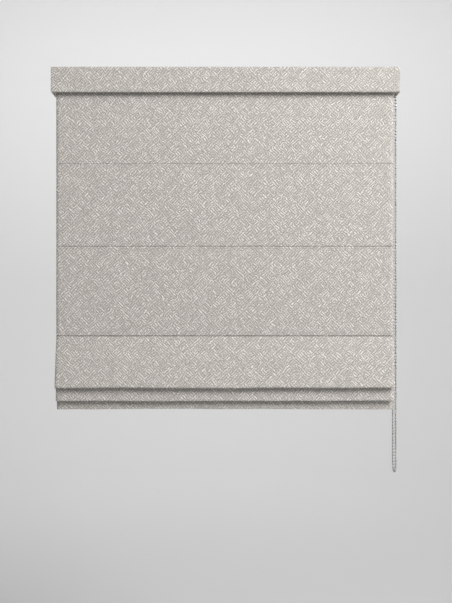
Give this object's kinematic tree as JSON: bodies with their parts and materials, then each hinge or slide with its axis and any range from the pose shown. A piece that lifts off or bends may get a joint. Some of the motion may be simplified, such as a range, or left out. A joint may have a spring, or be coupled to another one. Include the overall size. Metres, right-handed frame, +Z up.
{
  "type": "roman blind",
  "caption": "Part-raised roman blind in greige woven fabric, with a fabric-covered pelmet, hidden rods and cords, and a metal bead-chain drive.",
  "frame": {"origin": "centre of the four screw holes of the two top brackets, on the face that meets the window head", "axes": "+X to the right, front faces -Y, +Z up"},
  "size_m": [0.674, 0.0575, 0.789],
  "materials": {
    "greige_weave": "textured jacquard weave",
    "cream_lining": "plain cotton sateen",
    "white_tape": "hook and loop pile",
    "white_cord": "braided polyester",
    "anodised_rail": "white satin",
    "bar_aluminium": "mill",
    "white_plastic": "moulded satin",
    "clear_plastic": "polished",
    "glass_fibre": "pultruded",
    "raw_board": "sanded board",
    "spring_steel": "oiled",
    "zinc_steel": "zinc plated",
    "chrome_beads": "nickel plated"
  },
  "bodies": {
    "root": {"headrail": "anodised_rail", "end_cap_left": "white_plastic", "clutch_housing": "white_plastic", "cord_cradle_1": "white_plastic", "cord_cradle_2": "white_plastic", "cord_cradle_3": "white_plastic", "hook_tape": "white_tape", "loop_tape": "white_tape", "face_fabric": "greige_weave", "lining": "cream_lining", "lift_cord_1": "white_cord", "lift_cord_2": "white_cord", "lift_cord_3": "white_cord", "pelmet_board": "raw_board", "pelmet_return_left": "white_plastic", "pelmet_return_right": "white_plastic", "pelmet_fabric": "greige_weave", "pelmet_clips": "spring_steel", "clip_screws": "zinc_steel", "mounting_bracket_left": "zinc_steel", "mounting_bracket_right": "zinc_steel", "latch_rivet_left": "zinc_steel", "latch_rivet_right": "zinc_steel", "bead_chain": "chrome_beads", "chain_connector": "chrome_beads"},
    "drive": {"chain_wheel": "white_plastic", "brake_spring": "spring_steel", "shaft_adapter": "white_plastic", "drive_shaft": "zinc_steel", "shaft_bush": "white_plastic", "cord_spool_1": "white_plastic", "cord_spool_2": "white_plastic", "cord_spool_3": "white_plastic"},
    "latch_left": {"bracket_latch_left": "zinc_steel"},
    "latch_right": {"bracket_latch_right": "zinc_steel"},
    "rod_1": {"batten_rod_1": "glass_fibre", "rod_tips_1": "white_plastic", "cord_rings_1": "clear_plastic"},
    "rod_2": {"batten_rod_2": "glass_fibre", "rod_tips_2": "white_plastic", "cord_rings_2": "clear_plastic"},
    "rod_3": {"batten_rod_3": "glass_fibre", "rod_tips_3": "white_plastic", "cord_rings_3": "clear_plastic"},
    "rod_4": {"batten_rod_4": "glass_fibre", "rod_tips_4": "white_plastic", "cord_rings_4": "clear_plastic"},
    "rod_5": {"batten_rod_5": "glass_fibre", "rod_tips_5": "white_plastic", "cord_rings_5": "clear_plastic", "cord_locks": "white_plastic", "bottom_bar": "bar_aluminium", "bar_cap_left": "white_plastic", "bar_cap_right": "white_plastic"}
  },
  "joints": [
    {"name": "lift", "type": "slide", "parent": "root", "child": "rod_3", "axis": [0, 0, 1], "range_m": [0, 0.4575], "deforming": ["face_fabric", "lining", "lift_cord_1", "lift_cord_2", "lift_cord_3"]},
    {"name": "rod_1_rise", "type": "slide", "parent": "root", "child": "rod_1", "axis": [0, 0, 1], "range_m": [0, 0.1449], "deforming": ["face_fabric", "lining", "lift_cord_1", "lift_cord_2", "lift_cord_3"]},
    {"name": "rod_2_rise", "type": "slide", "parent": "root", "child": "rod_2", "axis": [0, 0, 1], "range_m": [0, 0.2949], "deforming": ["face_fabric", "lining", "lift_cord_1", "lift_cord_2", "lift_cord_3"]},
    {"name": "rod_4_drop", "type": "slide", "parent": "rod_3", "child": "rod_4", "axis": [0, 0, 1], "range_m": [-0.144, 0.018], "deforming": ["face_fabric", "lining", "lift_cord_1", "lift_cord_2", "lift_cord_3"]},
    {"name": "rod_5_drop", "type": "slide", "parent": "rod_4", "child": "rod_5", "axis": [0, 0, 1], "range_m": [-0.148, 0.014], "deforming": ["face_fabric", "lining", "lift_cord_1", "lift_cord_2", "lift_cord_3"]},
    {"name": "drive_turn", "type": "hinge", "parent": "root", "child": "drive", "pos_m": [0, 0, -0.02], "axis": [-1, 0, 0], "range_deg": [-1, 4163], "deforming": ["face_fabric", "lining", "lift_cord_1", "lift_cord_2", "lift_cord_3"]},
    {"name": "latch_left_swivel", "type": "hinge", "parent": "root", "child": "latch_left", "pos_m": [-0.199, 0, -0.005], "axis": [0, 0, 1], "range_deg": [0, 90]},
    {"name": "latch_right_swivel", "type": "hinge", "parent": "root", "child": "latch_right", "pos_m": [0.181, 0, -0.005], "axis": [0, 0, 1], "range_deg": [0, 90]}
  ],
  "couplings": [
    {"joint": "rod_1_rise", "follows": "lift", "ratio": 0.31557},
    {"joint": "rod_2_rise", "follows": "lift", "ratio": 0.64344},
    {"joint": "drive_turn", "follows": "lift", "rad_per_m": 158.73}
  ]
}
